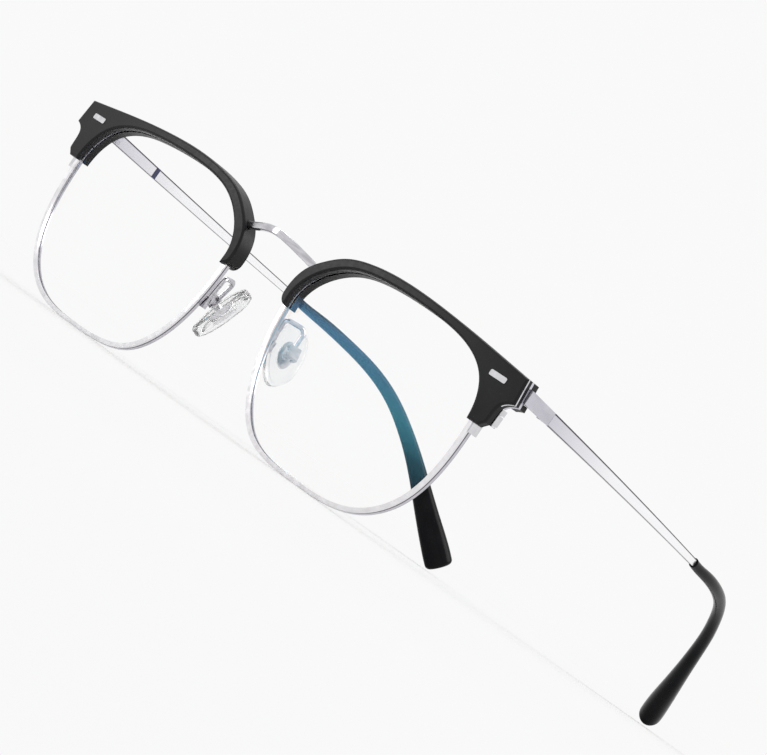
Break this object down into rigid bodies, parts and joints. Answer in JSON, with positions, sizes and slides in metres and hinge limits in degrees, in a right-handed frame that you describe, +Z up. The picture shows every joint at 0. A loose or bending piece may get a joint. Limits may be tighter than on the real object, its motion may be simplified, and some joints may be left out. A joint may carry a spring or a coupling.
{
  "type": "half rim eyeglasses",
  "caption": "Browline eyeglasses: black brows over full metal eyewires, arched metal bridge, silicone nose pads on wire arms, and slim flat temples with black end sleeves.",
  "frame": {"origin": "middle of the footprint at table height, as the glasses stand on the rims' bottoms and the sleeves' tips", "axes": "+X to the wearer's left, -Y the way the front faces, +Z up"},
  "size_m": [0.1404, 0.1443, 0.043],
  "materials": {
    "black_acetate": "satin black with soft bevels",
    "black_sleeve": "smooth semi-gloss black",
    "polished_metal": "bright polished silver",
    "satin_metal": "fine satin silver",
    "lens": "clear with a blue-green coating",
    "silicone": "clear soft silicone",
    "blue_enamel": "blue enamel"
  },
  "bodies": {
    "front": {"bridge": "polished_metal", "brow_left": "black_acetate", "brow_right": "black_acetate", "brow_pin_left": "polished_metal", "brow_pin_right": "polished_metal", "brow_trim_left": "polished_metal", "brow_trim_right": "polished_metal", "rim_left": "polished_metal", "rim_right": "polished_metal", "lens_left": "lens", "lens_right": "lens", "end_piece_left": "polished_metal", "end_piece_right": "polished_metal", "hinge_screw_left": "satin_metal", "hinge_screw_right": "satin_metal", "rim_lock_upper_left": "polished_metal", "rim_lock_upper_right": "polished_metal", "rim_lock_lower_left": "polished_metal", "rim_lock_lower_right": "polished_metal", "rim_lock_screw_left": "satin_metal", "rim_lock_screw_right": "satin_metal", "pad_arm_left": "polished_metal", "pad_arm_right": "polished_metal", "pad_screw_left": "satin_metal", "pad_screw_right": "satin_metal"},
    "temple_left": {"temple_left": "satin_metal", "temple_band_left": "blue_enamel", "temple_sleeve_left": "black_sleeve"},
    "pad_left": {"pad_core_left": "satin_metal", "nose_pad_left": "silicone"},
    "temple_right": {"temple_right": "satin_metal", "temple_band_right": "blue_enamel", "temple_sleeve_right": "black_sleeve"},
    "pad_right": {"pad_core_right": "satin_metal", "nose_pad_right": "silicone"}
  },
  "joints": [
    {"name": "temple_fold_left", "type": "hinge", "parent": "front", "child": "temple_left", "pos_m": [0.0683, -0.05665, 0.03692], "axis": [0, 0, 1], "range_deg": [0, 77]},
    {"name": "temple_fold_right", "type": "hinge", "parent": "front", "child": "temple_right", "pos_m": [-0.0683, -0.05665, 0.03692], "axis": [0, 0, -1], "range_deg": [0, 73]},
    {"name": "pad_rock_left", "type": "hinge", "parent": "front", "child": "pad_left", "pos_m": [0.01252, -0.06191, 0.01993], "axis": [0.4449, 0.8926, 0.0733], "range_deg": [-6, 6]},
    {"name": "pad_rock_right", "type": "hinge", "parent": "front", "child": "pad_right", "pos_m": [-0.01252, -0.06191, 0.01993], "axis": [-0.4449, 0.8926, 0.0733], "range_deg": [-6, 6]}
  ]
}
